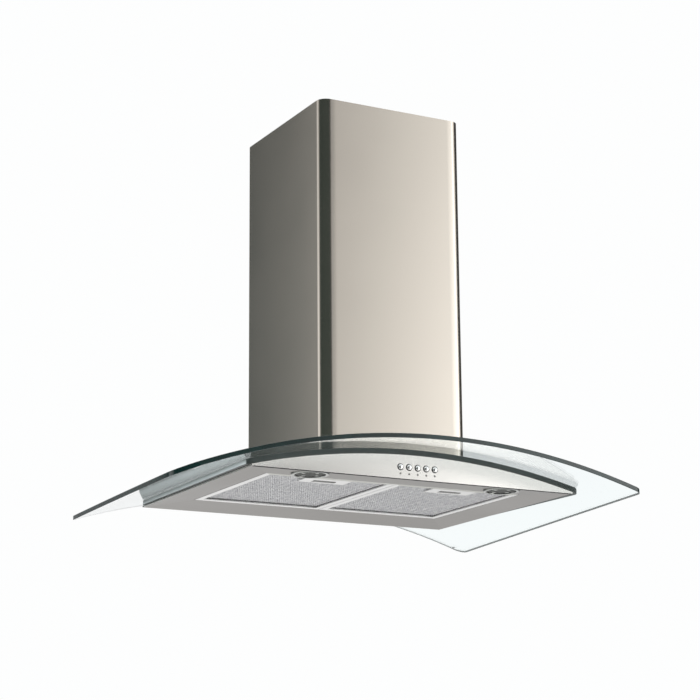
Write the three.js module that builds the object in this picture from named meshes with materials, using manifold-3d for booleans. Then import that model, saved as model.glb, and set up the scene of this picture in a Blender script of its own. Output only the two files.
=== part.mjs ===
// Island range hood with a telescopic chimney and a bent glass canopy.
// Millimetres, +Z up. The origin is the middle of the ceiling plate's top face.
// Hood pieces are drawn from the underside plane (z = 0) in a group that is lowered to its place.
// X runs along the button panel, -Y faces the person who presses the buttons.

import * as THREE from 'three';
import { mergeVertices } from 'three/addons/utils/BufferGeometryUtils.js';
import Module from 'manifold-3d';

const wasm = await Module();
wasm.setup();

// ---------- driving dimensions ----------

const GAP = 0.3; // between pieces that touch
const BEYOND = 600; // past every outline, for blanks that are cut to shape
const SHEET = 1.2; // panels and plates

// body
const BODY_HALF_X = 327.1;
const BODY_HALF_Y = 240.8;
const ARCH_RADIUS = 1350; // arched top of the panels
const ARCH_APEX = 43.1;
const ARCH_CENTRE_Z = ARCH_APEX - ARCH_RADIUS;
const BED_THICK = 10; // dark frame between panels and glass
const BED_NEAR_HALF_X = 341;
const BED_FAR_HALF_X = 329;
const BED_HALF_Y = 243;
const BED_CORNER = 12;
const BED_RIM = 20;

// glass, a bent sheet whose ends are cut at a slant, each corner in plan being [x, y, radius]
const GLASS_THICK = 8;
const GLASS_INNER_R = ARCH_RADIUS + BED_THICK + GAP;
const GLASS_OUTER_R = GLASS_INNER_R + GLASS_THICK;
const GLASS_TOP = ARCH_CENTRE_Z + GLASS_OUTER_R;
const GLASS_NEAR_Y = -341.9;
const GLASS_FAR_Y = 364;
const GLASS_CORNERS = [
  [-512, GLASS_NEAR_Y, 40],
  [409.5, GLASS_NEAR_Y, 12],
  [457, GLASS_FAR_Y, 20],
  [-421, GLASS_FAR_Y, 6],
];
const GLASS_CUT_HALF_X = 140;
const GLASS_CUT_HALF_Y = 152;
const GLASS_CUT_CORNER = 5;

// chimney
const CHIMNEY_HALF_X = 150;
const CHIMNEY_HALF_Y = 162;
const CHIMNEY_CORNER = 20;
const CHIMNEY_TOP = 720.5;
const COVER_WALL = 1;
const COVER_ABOVE_GLASS = 0.5;
const SLEEVE_INSET = COVER_WALL + 0.6;
const SLEEVE_LENGTH = 417;
const CEILING_GAP = 1; // cover's top edge to the ceiling
const HOOD_DROP = CHIMNEY_TOP + CEILING_GAP; // underside plane below the ceiling

// inner frame
const PLATE_THICK = 3;
const PLATE_INSET = 4;
const DUCT_HOLE_R = 82;
const CEILING_SLOT = { x: 100, y: 124, halfLength: 12, halfWidth: 3 };
const UPRIGHT_LEG = 22;
const UPRIGHT_WALL = 1.6;
const UPPER_UPRIGHT_INSET = 10.6; // from the chimney's outside
const LOWER_UPRIGHT_INSET = UPPER_UPRIGHT_INSET + UPRIGHT_WALL + 0.4;
const LOWER_UPRIGHT_TOP = 695;
const RAIL_BOTTOM = 17.5;
const RAIL_TOP = 33;
const RAIL_WALL = 1.5;
const RAIL_INNER_X = 119;
const RAIL_OUTER_X = CHIMNEY_HALF_X - LOWER_UPRIGHT_INSET;

// underside
const PAN_GAP = 0.6; // to the panels
const PAN_LIFT = 5; // the pan's borders rise from the rim to the filters
const PAN_OPENING = { x: 262, near: -163, far: 149 };
const PAN_UPSTAND = 14;
const FILTER = { inner: 0.6, outer: 260.4, near: -161.2, far: 147.2, bottom: 5, top: 13 };
const FILTER_RIM = 12;
const FILTER_MID_X = (FILTER.inner + FILTER.outer) / 2;
const MESH_BOTTOM = 9.5;
const MESH_TOP = 12.5;
const HANDLE_HALF_X = 46;
const HANDLE_FAR = -112;
const HANDLE_THICK = 2;
const SLOT_HALF_X = 22.5;
const SLOT_NEAR = -133;
const SLOT_FAR = -119.5;
const LATCH_WIDTH = 5;
const TONGUE_HALF_X = 10;
const TONGUE_BOTTOM = FILTER.bottom + HANDLE_THICK + GAP;
const TONGUE_TOP = TONGUE_BOTTOM + 1.5;

// lamps
const LAMP_X = 196.5;
const LAMP_Y = -202.5;
const LAMP_R = 34;
const LENS_R = 27;
const BULB_R = 4.4;

// buttons
const BUTTON_COUNT = 5;
const BUTTON_PITCH = 17.5;
const BUTTON_MID_X = -2.4;
const BUTTON_Z = 20.9;
const BUTTON_R = 4.8;
const BUTTON_CLEARANCE = 0.4;
const BUTTON_FRONT = -BODY_HALF_Y - 3;
const BUTTON_BACK = -BODY_HALF_Y + 8;

// boxes, as [x0, x1, y0, y1, z0, z1]
const CONTROL_MODULE = [-62, 58, BUTTON_BACK + 3.5, BUTTON_BACK + 40, 6, 34];
const LAMP_TRANSFORMER = [175, 250, 168, 214, 6.2, 15];

// blower
const FAN_AXIS_X = -22;
const FAN_AXIS_Z = 160.5;
const SCROLL_START_DEG = 75;
const SCROLL_R0 = 78;
const SCROLL_R1 = 104;
const SCROLL_HALF_Y = 60;
const SCROLL_WALL = 1.5;
const SCROLL_TOP = 282;
const INLET_R = 60;
const FAN_R = 70;
const FAN_INNER_R = 57;
const FAN_HALF_Y = 52;
const FAN_BLADES = 24;
const FAN_RING = 3;
const BLADE_THICK = 1.2;
const HUB_R = 12;
const SHAFT_R = 4;
const MOTOR_R = 42;
const MOTOR_FACE_Y = 8;
const MOTOR_BACK_Y = 68;
const BRACKET_THICK = 2;
const BASE_PLATE_Z = 62;
const BASE_PLATE_THICK = 2;
const BASE_PLATE_HALF_X = 134;
const BASE_PLATE_HALF_Y = 146;
const BASE_WINDOW = { halfX: 80, inner: 66, outer: 108 };
const CLAMP_HALF_X = 12;
const CLAMP_LAP = 28; // from the edge of the glass in over the base plate
const CLAMP_REACH = 7; // from the edge of the glass out over it
const COLLAR_R = 75;
const COLLAR_WALL = 1.5;
const COLLAR_BOTTOM = 330;
const COLLAR_TOP = 390;
const COLLAR_FLANGE = 8;
const COLLAR_FLANGE_THICK = 2;
const FLAP_Z = 362;
const FLAP_THICK = 1.5;
const FLAP_PIVOT_X = 4;
const PIN_R = 1.5;
const CAPACITOR = { x: 100, y: 88, r: 17, height: 62 };
const TERMINAL_BOX = { x0: 4, x1: 76, depth: 31, z0: 235, z1: 275 };

// ---------- materials ----------

function paint(color, roughness, metalness) {
  return new THREE.MeshStandardMaterial({ color, roughness, metalness });
}

const finish = {
  cover: paint(0xd8cfc3, 0.35, 0.9),
  panel: paint(0xe4e0d6, 0.35, 0.8),
  pan: paint(0x9f9b96, 0.4, 0.85),
  dark: paint(0x4a5450, 0.5, 0.2),
  glass: paint(0xc9ddd8, 0.05, 0),
  zinc: paint(0xb4b8ba, 0.45, 0.9),
  aluminium: paint(0xd0d0ce, 0.4, 0.9),
  chrome: paint(0xe8eaeb, 0.1, 1),
  plastic: paint(0x2c2d30, 0.5, 0),
  pale: paint(0xdadbd8, 0.5, 0),
};

// ---------- solids ----------

const group = new THREE.Group();
const hood = new THREE.Group();
hood.position.z = -HOOD_DROP;
group.add(hood);

function signedVolume(geometry) {
  const p = geometry.attributes.position;
  const corner = [new THREE.Vector3(), new THREE.Vector3(), new THREE.Vector3()];
  let sum = 0;
  for (let i = 0; i < geometry.index.count; i += 3) {
    corner.forEach((v, k) => v.fromBufferAttribute(p, geometry.index.getX(i + k)));
    sum += corner[0].dot(corner[1].clone().cross(corner[2]));
  }
  return sum / 6;
}

function solid(geometry) {
  const bare = geometry.clone();
  bare.deleteAttribute('normal');
  bare.deleteAttribute('uv');
  const merged = mergeVertices(bare, 1e-3);
  const triVerts = new Uint32Array(merged.index.array);
  if (signedVolume(merged) < 0) {
    for (let i = 0; i < triVerts.length; i += 3) {
      [triVerts[i + 1], triVerts[i + 2]] = [triVerts[i + 2], triVerts[i + 1]];
    }
  }
  const vertProperties = new Float32Array(merged.attributes.position.array);
  return new wasm.Manifold(new wasm.Mesh({ numProp: 3, vertProperties, triVerts }));
}

function geometryOf(manifold) {
  const mesh = manifold.getMesh();
  const geometry = new THREE.BufferGeometry();
  geometry.setAttribute('position', new THREE.BufferAttribute(new Float32Array(mesh.vertProperties), 3));
  geometry.setIndex(new THREE.BufferAttribute(new Uint32Array(mesh.triVerts), 1));
  return geometry;
}

function add(name, manifold, material, parent = hood) {
  const mesh = new THREE.Mesh(geometryOf(manifold), material);
  mesh.name = name;
  parent.add(mesh);
}

function cut(base, ...tools) {
  return tools.reduce((rest, tool) => rest.subtract(tool), base);
}

function join(...pieces) {
  return pieces.reduce((sum, piece) => sum.add(piece));
}

function block(x0, x1, y0, y1, z0, z1) {
  const box = new THREE.BoxGeometry(x1 - x0, y1 - y0, z1 - z0);
  box.translate((x0 + x1) / 2, (y0 + y1) / 2, (z0 + z1) / 2);
  return solid(box);
}

function upright(shape, z0, z1, curveSegments = 6) {
  const prism = new THREE.ExtrudeGeometry(shape, { depth: z1 - z0, bevelEnabled: false, curveSegments });
  prism.translate(0, 0, z0);
  return solid(prism);
}

// a shape drawn in X and Z, carried along Y
function along(shape, y0, y1, curveSegments = 6) {
  const prism = new THREE.ExtrudeGeometry(shape, { depth: y1 - y0, bevelEnabled: false, curveSegments });
  prism.rotateX(Math.PI / 2);
  prism.translate(0, y1, 0);
  return solid(prism);
}

function rodZ(radius, x, y, z0, z1, sides = 32) {
  const rod = new THREE.CylinderGeometry(radius, radius, z1 - z0, sides);
  rod.rotateX(Math.PI / 2);
  rod.translate(x, y, (z0 + z1) / 2);
  return solid(rod);
}

function rodY(radius, x, z, y0, y1, sides = 32) {
  const rod = new THREE.CylinderGeometry(radius, radius, y1 - y0, sides);
  rod.translate(x, (y0 + y1) / 2, z);
  return solid(rod);
}

// profile is a list of [radius, height] that closes on itself or ends on the axis
function turned(profile, sides = 28) {
  const lathe = new THREE.LatheGeometry(profile.map(([r, z]) => new THREE.Vector2(r, z)), sides);
  lathe.rotateX(Math.PI / 2);
  return solid(lathe);
}

// rings of points that follow each other round a closed section
function ringLoft(rings) {
  const count = rings[0].length;
  const index = [];
  rings.forEach((ring, i) => {
    const here = i * count;
    const next = ((i + 1) % rings.length) * count;
    for (let j = 0; j < count; j += 1) {
      const k = (j + 1) % count;
      index.push(here + j, here + k, next + k, here + j, next + k, next + j);
    }
  });
  const geometry = new THREE.BufferGeometry();
  geometry.setAttribute('position', new THREE.Float32BufferAttribute(rings.flat(2), 3));
  geometry.setIndex(index);
  return solid(geometry);
}

// ---------- outlines ----------

function roundedRect(halfX, halfY, r) {
  const shape = new THREE.Shape();
  shape.absarc(halfX - r, halfY - r, r, 0, Math.PI / 2);
  shape.absarc(r - halfX, halfY - r, r, Math.PI / 2, Math.PI);
  shape.absarc(r - halfX, r - halfY, r, Math.PI, 1.5 * Math.PI);
  shape.absarc(halfX - r, r - halfY, r, 1.5 * Math.PI, 2 * Math.PI);
  shape.closePath();
  return shape;
}

// a tube the size of the chimney, set in by inset
function chimneyTube(inset, z0, z1) {
  const hole = inset + COVER_WALL;
  const shape = roundedRect(CHIMNEY_HALF_X - inset, CHIMNEY_HALF_Y - inset, CHIMNEY_CORNER - inset);
  shape.holes.push(roundedRect(CHIMNEY_HALF_X - hole, CHIMNEY_HALF_Y - hole, CHIMNEY_CORNER - hole));
  return upright(shape, z0, z1);
}

// the space under an arch of this radius, down to a flat base
function underArch(radius, halfX, baseZ) {
  const swing = Math.asin(halfX / radius);
  const shape = new THREE.Shape();
  shape.moveTo(-halfX, baseZ);
  shape.lineTo(halfX, baseZ);
  shape.absarc(0, ARCH_CENTRE_Z, radius, Math.PI / 2 - swing, Math.PI / 2 + swing);
  shape.closePath();
  return shape;
}

// the space between two arches with the same centre
function betweenArches(inner, outer, halfX) {
  const swing = Math.asin(halfX / inner);
  const shape = new THREE.Shape();
  shape.absarc(0, ARCH_CENTRE_Z, outer, Math.PI / 2 - swing, Math.PI / 2 + swing);
  shape.absarc(0, ARCH_CENTRE_Z, inner, Math.PI / 2 + swing, Math.PI / 2 - swing, true);
  shape.closePath();
  return shape;
}

// a polygon with its corners rounded, each corner being [x, y, radius]
function roundedPolygon(corners) {
  const shape = new THREE.Shape();
  const at = (i) => new THREE.Vector2(...corners[(i + corners.length) % corners.length].slice(0, 2));
  corners.forEach(([, , r], i) => {
    const here = at(i);
    const before = at(i - 1).sub(here).normalize();
    const after = at(i + 1).sub(here).normalize();
    const half = Math.acos(before.dot(after)) / 2;
    const start = here.clone().addScaledVector(before, r / Math.tan(half));
    const centre = here.clone().addScaledVector(before.clone().add(after).normalize(), r / Math.sin(half));
    const from = start.sub(centre).angle();
    shape.absarc(centre.x, centre.y, r, from, from + Math.PI - 2 * half);
  });
  shape.closePath();
  return shape;
}

// ---------- ceiling assembly ----------

const CORNERS = [
  ['near_left', -1, -1],
  ['near_right', 1, -1],
  ['far_right', 1, 1],
  ['far_left', -1, 1],
];

function ceilingPlate() {
  const shape = roundedRect(
    CHIMNEY_HALF_X - PLATE_INSET, CHIMNEY_HALF_Y - PLATE_INSET, CHIMNEY_CORNER - PLATE_INSET - COVER_WALL);
  const slots = CORNERS.map(([, sx, sy]) => {
    const { x, y, halfLength, halfWidth } = CEILING_SLOT;
    return block(
      sx * x - halfLength, sx * x + halfLength, sy * y - halfWidth, sy * y + halfWidth, -PLATE_THICK - 1, 1);
  });
  return cut(upright(shape, -PLATE_THICK, 0), rodZ(DUCT_HOLE_R, 0, 0, -PLATE_THICK - 1, 1, 48), ...slots);
}

// an angle whose corner is set in from the chimney's outside
function angleUpright(sx, sy, inset, z0, z1) {
  const x = (depth) => sx * (CHIMNEY_HALF_X - inset - depth);
  const y = (depth) => sy * (CHIMNEY_HALF_Y - inset - depth);
  const shape = new THREE.Shape();
  shape.moveTo(x(0), y(0));
  shape.lineTo(x(UPRIGHT_LEG), y(0));
  shape.lineTo(x(UPRIGHT_LEG), y(UPRIGHT_WALL));
  shape.lineTo(x(UPRIGHT_WALL), y(UPRIGHT_WALL));
  shape.lineTo(x(UPRIGHT_WALL), y(UPRIGHT_LEG));
  shape.lineTo(x(0), y(UPRIGHT_LEG));
  shape.closePath();
  return upright(shape, z0, z1);
}

add('ceiling_plate', ceilingPlate(), finish.zinc, group);
const sleeveTop = -PLATE_THICK - GAP;
add('upper_chimney', chimneyTube(SLEEVE_INSET, sleeveTop - SLEEVE_LENGTH, sleeveTop), finish.cover, group);
for (const [place, sx, sy] of CORNERS) {
  const angle = angleUpright(sx, sy, UPPER_UPRIGHT_INSET, sleeveTop - SLEEVE_LENGTH, sleeveTop);
  add(`upper_upright_${place}`, angle, finish.zinc, group);
  const lower = angleUpright(sx, sy, LOWER_UPRIGHT_INSET, RAIL_TOP + GAP, LOWER_UPRIGHT_TOP);
  add(`lower_upright_${place}`, lower, finish.zinc);
}

// ---------- chimney cover, glass and its bed ----------

const glassSpace = along(
  underArch(GLASS_OUTER_R + COVER_ABOVE_GLASS, 2 * CHIMNEY_HALF_X, -BEYOND), -BEYOND, BEYOND, 48);
add('chimney_cover', chimneyTube(0, 0, CHIMNEY_TOP).subtract(glassSpace), finish.cover);

const glassSlab = along(betweenArches(GLASS_INNER_R, GLASS_OUTER_R, BEYOND), -BEYOND, BEYOND, 58);
const glassPlan = roundedPolygon(GLASS_CORNERS);
glassPlan.holes.push(roundedRect(GLASS_CUT_HALF_X, GLASS_CUT_HALF_Y, GLASS_CUT_CORNER));
add('glass_canopy', glassSlab.intersect(upright(glassPlan, -BEYOND, BEYOND)), finish.glass);

const bedArches = betweenArches(ARCH_RADIUS + GAP, ARCH_RADIUS + BED_THICK, BEYOND);
const bedSlab = along(bedArches, -BEYOND, BEYOND, 48);
const bedPlan = roundedPolygon([
  [-BED_NEAR_HALF_X, -BED_HALF_Y, BED_CORNER],
  [BED_NEAR_HALF_X, -BED_HALF_Y, BED_CORNER],
  [BED_FAR_HALF_X, BED_HALF_Y, BED_CORNER],
  [-BED_FAR_HALF_X, BED_HALF_Y, BED_CORNER],
]);
bedPlan.holes.push(roundedRect(BED_FAR_HALF_X - BED_RIM, BED_HALF_Y - BED_RIM, BED_CORNER / 2));
add('glass_bed_frame', bedSlab.intersect(upright(bedPlan, -BEYOND, BEYOND)), finish.dark);

// a strap on the blower's base plate that hooks down onto the edge of the glass
function glassClamp(turn) {
  const back = GLASS_CUT_HALF_Y - CLAMP_LAP;
  const reach = GLASS_CUT_HALF_Y + CLAMP_REACH;
  const below = BASE_PLATE_Z + BASE_PLATE_THICK + GAP;
  const above = BASE_PLATE_Z + 2 * BASE_PLATE_THICK;
  const strap = block(-CLAMP_HALF_X, CLAMP_HALF_X, back, reach, below, above);
  const hook = block(
    -CLAMP_HALF_X, CLAMP_HALF_X, GLASS_CUT_HALF_Y + 1, reach, GLASS_TOP + 2 * GAP, above);
  return strap.add(hook).rotate([0, 0, turn]);
}
[['near', 180], ['far', 0]].forEach(([place, turn]) => {
  add(`glass_clamp_${place}`, glassClamp(turn), finish.zinc);
});

// ---------- body ----------

function archedPanel(y0, y1) {
  return along(underArch(ARCH_RADIUS, BODY_HALF_X, 0), y0, y1, 28);
}

const buttonXs = Array.from(
  { length: BUTTON_COUNT }, (_, i) => BUTTON_MID_X + (i - (BUTTON_COUNT - 1) / 2) * BUTTON_PITCH);
const panelInner = BODY_HALF_Y - SHEET;
const buttonHoles = buttonXs.map(
  (x) => rodY(BUTTON_R + BUTTON_CLEARANCE, x, BUTTON_Z, -BODY_HALF_Y - 2, -panelInner + 2, 24));
add('front_panel', cut(archedPanel(-BODY_HALF_Y, -panelInner), ...buttonHoles), finish.panel);
add('rear_panel', archedPanel(panelInner, BODY_HALF_Y), finish.panel);

function rectRing(x, near, far, z) {
  return [[-x, near, z], [x, near, z], [x, far, z], [-x, far, z]];
}

function undersidePan() {
  const rimX = BODY_HALF_X - PAN_GAP;
  const rimY = panelInner - PAN_GAP;
  const { x, near, far } = PAN_OPENING;
  const pan = ringLoft([
    rectRing(rimX, -rimY, rimY, 0),
    rectRing(x, near, far, PAN_LIFT),
    rectRing(x, near, far, PAN_UPSTAND),
    rectRing(x + SHEET, near - SHEET, far + SHEET, PAN_UPSTAND),
    rectRing(x + SHEET, near - SHEET, far + SHEET, PAN_LIFT + SHEET),
    rectRing(rimX, -rimY, rimY, SHEET),
  ]);
  const lampHoles = [-1, 1].map((side) => rodZ(LAMP_R + 0.5, side * LAMP_X, LAMP_Y, -5, 12, 48));
  return cut(pan, ...lampHoles);
}
add('underside_pan', undersidePan(), finish.pan);

// box-section rails across the body carry the uprights
for (const [place, side] of [['left', -1], ['right', 1]]) {
  const [x0, x1] = side < 0 ? [-RAIL_OUTER_X, -RAIL_INNER_X] : [RAIL_INNER_X, RAIL_OUTER_X];
  const end = panelInner - GAP;
  const rail = block(x0, x1, -end, end, RAIL_BOTTOM, RAIL_TOP);
  const core = block(
    x0 + RAIL_WALL, x1 - RAIL_WALL, -end - 1, end + 1, RAIL_BOTTOM + RAIL_WALL, RAIL_TOP - RAIL_WALL);
  add(`frame_rail_${place}`, rail.subtract(core), finish.zinc);
}

// ---------- filters and their latches ----------

for (const [place, side] of [['left', -1], ['right', 1]]) {
  const f = FILTER;
  const half = (f.outer - f.inner) / 2;
  const mid = side * FILTER_MID_X;
  const rim = block(mid - half, mid + half, f.near, f.far, f.bottom, f.top);
  const well = block(
    mid - half + FILTER_RIM, mid + half - FILTER_RIM,
    f.near + FILTER_RIM, f.far - FILTER_RIM, f.bottom - 1, f.top + 1);
  const handle = block(
    mid - HANDLE_HALF_X, mid + HANDLE_HALF_X,
    f.near + FILTER_RIM - 1, HANDLE_FAR, f.bottom, f.bottom + HANDLE_THICK);
  const slot = block(mid - SLOT_HALF_X, mid + SLOT_HALF_X, SLOT_NEAR, SLOT_FAR, f.bottom - 1, f.top);
  const tongueWay = block(
    mid - TONGUE_HALF_X - 0.5, mid + TONGUE_HALF_X + 0.5,
    f.near - 1, f.near + FILTER_RIM + 1, TONGUE_BOTTOM - GAP, TONGUE_TOP + GAP);
  add(`filter_frame_${place}`, cut(join(rim.subtract(well), handle), slot, tongueWay), finish.aluminium);

  const meshInset = FILTER_RIM + GAP;
  const pad = block(
    mid - half + meshInset, mid + half - meshInset,
    f.near + meshInset, f.far - meshInset, MESH_BOTTOM, MESH_TOP);
  add(`filter_mesh_${place}`, pad, finish.zinc);

  const slider = block(
    mid - SLOT_HALF_X + 1, mid + SLOT_HALF_X - 1,
    SLOT_NEAR + 0.5, SLOT_NEAR + 0.5 + LATCH_WIDTH, f.bottom - 0.8, TONGUE_BOTTOM);
  const tongue = block(
    mid - TONGUE_HALF_X, mid + TONGUE_HALF_X,
    f.near + 0.8, SLOT_NEAR + 0.5 + LATCH_WIDTH, TONGUE_BOTTOM, TONGUE_TOP);
  add(`filter_latch_${place}`, join(slider, tongue), finish.chrome);
}

// ---------- lamps ----------

for (const [place, side] of [['left', -1], ['right', 1]]) {
  const move = [side * LAMP_X, LAMP_Y, 0];
  const bezel = turned([
    [LENS_R + GAP, -0.5], [LAMP_R - 2, -0.5], [LAMP_R, 0.8], [LAMP_R, 6.4], [LENS_R + GAP, 6.4],
    [LENS_R + GAP, -0.5],
  ]);
  const lens = turned([[0, 0.8], [LENS_R, 0.8], [LENS_R, 2.8], [0, 2.8]]);
  const bowl = turned([
    [LENS_R - 0.5, 3.2], [LENS_R, 3.2], [LENS_R, 6.4], [21, 13], [13, 17.6], [6, 17.6], [6, 16.6],
    [12.6, 16.6], [20, 12.2], [LENS_R - 1.2, 6], [LENS_R - 1.2, 3.2], [LENS_R - 0.5, 3.2],
  ]);
  const bulb = turned([[0, 8], [BULB_R - 1.4, 8.4], [BULB_R, 10], [BULB_R, 19.6], [0, 19.6]], 20);
  add(`lamp_bezel_${place}`, bezel.translate(move), finish.chrome);
  add(`lamp_lens_${place}`, lens.translate(move), finish.glass);
  add(`lamp_reflector_${place}`, bowl.translate(move), finish.aluminium);
  add(`lamp_bulb_${place}`, bulb.translate(move), finish.pale);
}

// ---------- controls ----------

buttonXs.forEach((x, i) => {
  const cap = turned([[0, 0], [BUTTON_R - 0.8, 0], [BUTTON_R, 0.8], [BUTTON_R, BUTTON_BACK - BUTTON_FRONT],
    [0, BUTTON_BACK - BUTTON_FRONT]], 24);
  add(`button_${i + 1}`, cap.rotate([-90, 0, 0]).translate([x, BUTTON_FRONT, BUTTON_Z]), finish.chrome);
});
add('control_module', block(...CONTROL_MODULE), finish.plastic);
add('lamp_transformer', block(...LAMP_TRANSFORMER), finish.plastic);

// ---------- blower ----------

const rad = THREE.MathUtils.degToRad;

// the scroll runs from its tongue round to the upright outlet wall, shrunk by inset
function scrollOutline(inset, top) {
  const shape = new THREE.Shape();
  const steps = 30;
  for (let i = 0; i <= steps; i += 1) {
    const angle = rad(SCROLL_START_DEG + (360 - SCROLL_START_DEG) * (i / steps));
    const radius = SCROLL_R0 + (SCROLL_R1 - SCROLL_R0) * (i / steps) - inset;
    const x = FAN_AXIS_X + radius * Math.cos(angle) + (i === 0 ? inset : 0);
    const z = FAN_AXIS_Z + radius * Math.sin(angle);
    if (i === 0) {
      shape.moveTo(x, top);
    }
    shape.lineTo(x, z);
  }
  shape.lineTo(FAN_AXIS_X + SCROLL_R1 - inset, top);
  shape.closePath();
  return shape;
}

const scrollInnerY = SCROLL_HALF_Y - SCROLL_WALL;
const scrollOuter = along(scrollOutline(0, SCROLL_TOP), -SCROLL_HALF_Y, SCROLL_HALF_Y);
const scrollInner = along(scrollOutline(SCROLL_WALL, SCROLL_TOP + 5), -scrollInnerY, scrollInnerY);
const inlets = rodY(INLET_R, FAN_AXIS_X, FAN_AXIS_Z, -SCROLL_HALF_Y - 5, SCROLL_HALF_Y + 5, 48);
add('blower_housing', cut(scrollOuter, scrollInner, inlets), finish.zinc);

function basePlate() {
  const below = BASE_PLATE_Z - 1;
  const above = BASE_PLATE_Z + BASE_PLATE_THICK + 1;
  const plate = block(
    -BASE_PLATE_HALF_X, BASE_PLATE_HALF_X, -BASE_PLATE_HALF_Y, BASE_PLATE_HALF_Y, below + 1, above - 1);
  const clear = LOWER_UPRIGHT_INSET + UPRIGHT_LEG + 1;
  const notches = CORNERS.map(([, sx, sy]) => {
    const xs = [sx * (CHIMNEY_HALF_X - clear), sx * CHIMNEY_HALF_X].sort((a, b) => a - b);
    const ys = [sy * (CHIMNEY_HALF_Y - clear), sy * CHIMNEY_HALF_Y].sort((a, b) => a - b);
    return block(...xs, ...ys, below, above);
  });
  const windows = [-1, 1].map((side) => {
    const ys = [side * BASE_WINDOW.inner, side * BASE_WINDOW.outer].sort((a, b) => a - b);
    return block(-BASE_WINDOW.halfX, BASE_WINDOW.halfX, ...ys, below, above);
  });
  return cut(plate, ...notches, ...windows);
}
add('blower_base_plate', basePlate(), finish.zinc);

// drum with a hub plate at its middle, blades between the hub plate and two end rings
function impeller() {
  const bore = SHAFT_R + GAP;
  const ring = (z0, z1, r0, r1, sides) => turned([[r0, z0], [r1, z0], [r1, z1], [r0, z1], [r0, z0]], sides);
  const end = FAN_HALF_Y - FAN_RING;
  const pieces = [
    ring(-FAN_RING / 2, FAN_RING / 2, bore, FAN_R, 36),
    ring(-8, FAN_RING / 2, bore, HUB_R, 24),
    ring(-FAN_HALF_Y, -end, FAN_INNER_R, FAN_R, 36),
    ring(end, FAN_HALF_Y, FAN_INNER_R, FAN_R, 36),
  ];
  for (let i = 0; i < FAN_BLADES; i += 1) {
    const blade = block(FAN_INNER_R + 1, FAN_R - 1, -BLADE_THICK / 2, BLADE_THICK / 2, -end - 1, end + 1);
    pieces.push(blade.rotate([0, 0, 360 * (i / FAN_BLADES)]));
  }
  return join(...pieces).rotate([-90, 0, 0]).translate([FAN_AXIS_X, 0, FAN_AXIS_Z]);
}
add('impeller', impeller(), finish.pale);
add('motor_shaft', rodY(SHAFT_R, FAN_AXIS_X, FAN_AXIS_Z, -14, MOTOR_FACE_Y + 16, 24), finish.chrome);

const motorBody = rodY(MOTOR_R, FAN_AXIS_X, FAN_AXIS_Z, MOTOR_FACE_Y, MOTOR_BACK_Y, 36);
const motorBore = rodY(SHAFT_R + GAP, FAN_AXIS_X, FAN_AXIS_Z, MOTOR_FACE_Y - 1, MOTOR_FACE_Y + 18, 24);
add('motor', motorBody.subtract(motorBore), finish.dark);

function motorBracket() {
  const y0 = SCROLL_HALF_Y + GAP;
  const disc = rodY(MOTOR_R + 6, FAN_AXIS_X, FAN_AXIS_Z, y0, y0 + BRACKET_THICK, 36);
  const arms = [0, 120, 240].map((turn) => {
    const arm = block(-7, 7, y0, y0 + BRACKET_THICK, 0, INLET_R + 10).rotate([0, turn, 0]);
    return arm.translate([FAN_AXIS_X, 0, FAN_AXIS_Z]);
  });
  const bore = rodY(MOTOR_R + GAP, FAN_AXIS_X, FAN_AXIS_Z, y0 - 5, y0 + 5, 36);
  return join(disc, ...arms).subtract(bore);
}
add('motor_bracket', motorBracket(), finish.zinc);

// the rectangular mouth of the scroll blends to the round collar
function outletAdapter() {
  const x0 = FAN_AXIS_X + SCROLL_R0 * Math.cos(rad(SCROLL_START_DEG));
  const x1 = FAN_AXIS_X + SCROLL_R1;
  const mid = (x0 + x1) / 2;
  const sides = 40;
  const mouth = (inset, z) => Array.from({ length: sides }, (_, i) => {
    const angle = (2 * Math.PI * (i + 0.5)) / sides;
    const hx = (x1 - x0) / 2 - inset;
    const hy = SCROLL_HALF_Y - inset;
    const stretch = 1 / Math.max(Math.abs(Math.cos(angle)), Math.abs(Math.sin(angle)));
    return [mid + hx * stretch * Math.cos(angle), hy * stretch * Math.sin(angle), z];
  });
  const round = (r, z) => Array.from({ length: sides }, (_, i) => {
    const angle = (2 * Math.PI * (i + 0.5)) / sides;
    return [r * Math.cos(angle), r * Math.sin(angle), z];
  });
  const z0 = SCROLL_TOP + GAP;
  const z1 = COLLAR_BOTTOM - GAP;
  return ringLoft([
    mouth(0, z0), round(COLLAR_R, z1), round(COLLAR_R - COLLAR_WALL, z1), mouth(COLLAR_WALL, z0)]);
}
add('outlet_adapter', outletAdapter(), finish.zinc);

const collarBore = COLLAR_R - COLLAR_WALL;
const flangeR = COLLAR_R + COLLAR_FLANGE;
const flangeTop = COLLAR_BOTTOM + COLLAR_FLANGE_THICK;
const collarTube = turned([
  [collarBore, COLLAR_BOTTOM], [flangeR, COLLAR_BOTTOM], [flangeR, flangeTop], [COLLAR_R, flangeTop],
  [COLLAR_R, COLLAR_TOP], [collarBore, COLLAR_TOP], [collarBore, COLLAR_BOTTOM],
], 48);
add('outlet_collar', collarTube, finish.plastic);
const pinHalf = collarBore - GAP;
add('damper_pin', rodY(PIN_R, 0, FLAP_Z, -pinHalf, pinHalf, 16), finish.chrome);

// two half discs that lie flat when the fan is off
for (const [place, side] of [['left', -1], ['right', 1]]) {
  const reach = collarBore - 4 * GAP;
  const start = Math.acos(FLAP_PIVOT_X / reach);
  const shape = new THREE.Shape();
  const turn = side < 0 ? Math.PI : 0;
  shape.absarc(0, 0, reach, turn - start, turn + start);
  shape.closePath();
  const z0 = FLAP_Z - FLAP_THICK / 2;
  add(`damper_flap_${place}`, upright(shape, z0, z0 + FLAP_THICK, 28), finish.plastic);
}

// ---------- electrics ----------

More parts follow.
